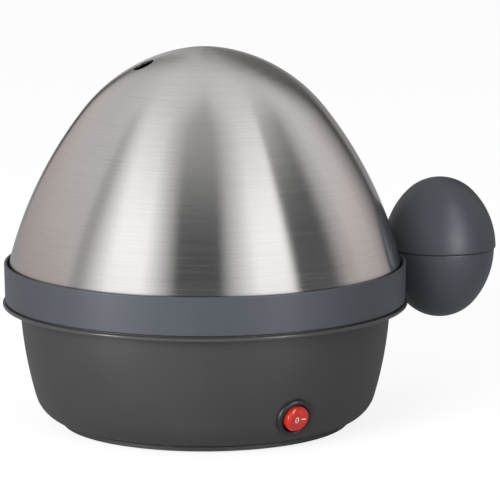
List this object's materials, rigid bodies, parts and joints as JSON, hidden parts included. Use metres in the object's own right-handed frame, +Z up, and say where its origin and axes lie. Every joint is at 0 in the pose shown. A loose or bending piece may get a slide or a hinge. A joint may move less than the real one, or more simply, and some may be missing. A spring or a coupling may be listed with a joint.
{
  "type": "egg cooker",
  "caption": "Electric egg cooker with a brushed steel dome, an egg-shaped side handle, a lift-out egg tray and a red rocker switch.",
  "frame": {"origin": "centre of the round body on the worktop, at the underside of the rubber foot ring", "axes": "+Z up, -Y towards the side with the switch, +X towards the side of the egg-shaped handle"},
  "size_m": [0.2212, 0.1778, 0.1662],
  "materials": {
    "bowl_plastic": "fine-textured dark grey moulding",
    "ring_plastic": "satin blue-grey moulding",
    "tray_plastic": "satin black moulding",
    "dome_steel": "spun and brushed round the axis",
    "dish_steel": "satin pressed sheet",
    "cast_aluminium": "as cast",
    "element_sheath": "dark oxidised tube",
    "plated_steel": "zinc plated",
    "foot_rubber": "soft matt",
    "seal_rubber": "moulded red silicone",
    "ceramic": "unglazed white ceramic",
    "black_plastic": "semi-gloss",
    "dark_phenolic": "phenolic moulding",
    "red_lens": "translucent red",
    "block_plastic": "natural nylon",
    "brown_lead": "insulated flexible lead",
    "blue_lead": "insulated flexible lead",
    "green_lead": "insulated flexible lead"
  },
  "bodies": {
    "base": {"base_housing": "bowl_plastic", "bottom_cover": "bowl_plastic", "foot_ring": "foot_rubber", "cover_screws": "plated_steel", "plate_seal": "seal_rubber", "heating_plate": "dish_steel", "heat_spreader": "cast_aluminium", "heating_element": "element_sheath", "element_beads": "ceramic", "element_pins": "plated_steel", "plate_studs": "plated_steel", "clamp_spider": "plated_steel", "stud_nuts": "plated_steel", "thermostat": "dark_phenolic", "thermostat_clip": "plated_steel", "clip_screws": "plated_steel", "thermal_fuse": "ceramic", "fuse_clip": "plated_steel", "fuse_screw": "plated_steel", "switch_body": "black_plastic", "switch_terminals": "plated_steel", "cord_bush": "black_plastic", "terminal_block": "block_plastic", "block_screws": "plated_steel", "live_leads": "brown_lead", "neutral_leads": "blue_lead", "earth_lead": "green_lead"},
    "lid": {"dome_shell": "dome_steel", "lid_ring": "ring_plastic", "retaining_ring": "ring_plastic", "lid_screws": "plated_steel", "handle_cap": "ring_plastic", "handle_screw": "plated_steel"},
    "tray": {"egg_tray": "tray_plastic"},
    "rocker": {"switch_rocker": "red_lens"}
  },
  "joints": [
    {"name": "lid_lift", "type": "slide", "parent": "base", "child": "lid", "axis": [0, 0, 1], "range_m": [0, 0.16]},
    {"name": "tray_lift", "type": "slide", "parent": "base", "child": "tray", "axis": [0, 0, 1], "range_m": [0, 0.064]},
    {"name": "rocker_pivot", "type": "hinge", "parent": "base", "child": "rocker", "pos_m": [0, -0.07301, 0.01647], "axis": [0, 0.2586, -0.966], "range_deg": [0, 14]}
  ],
  "couplings": [
    {"joint": "tray_lift", "follows": "lid_lift", "ratio": 0.4}
  ]
}
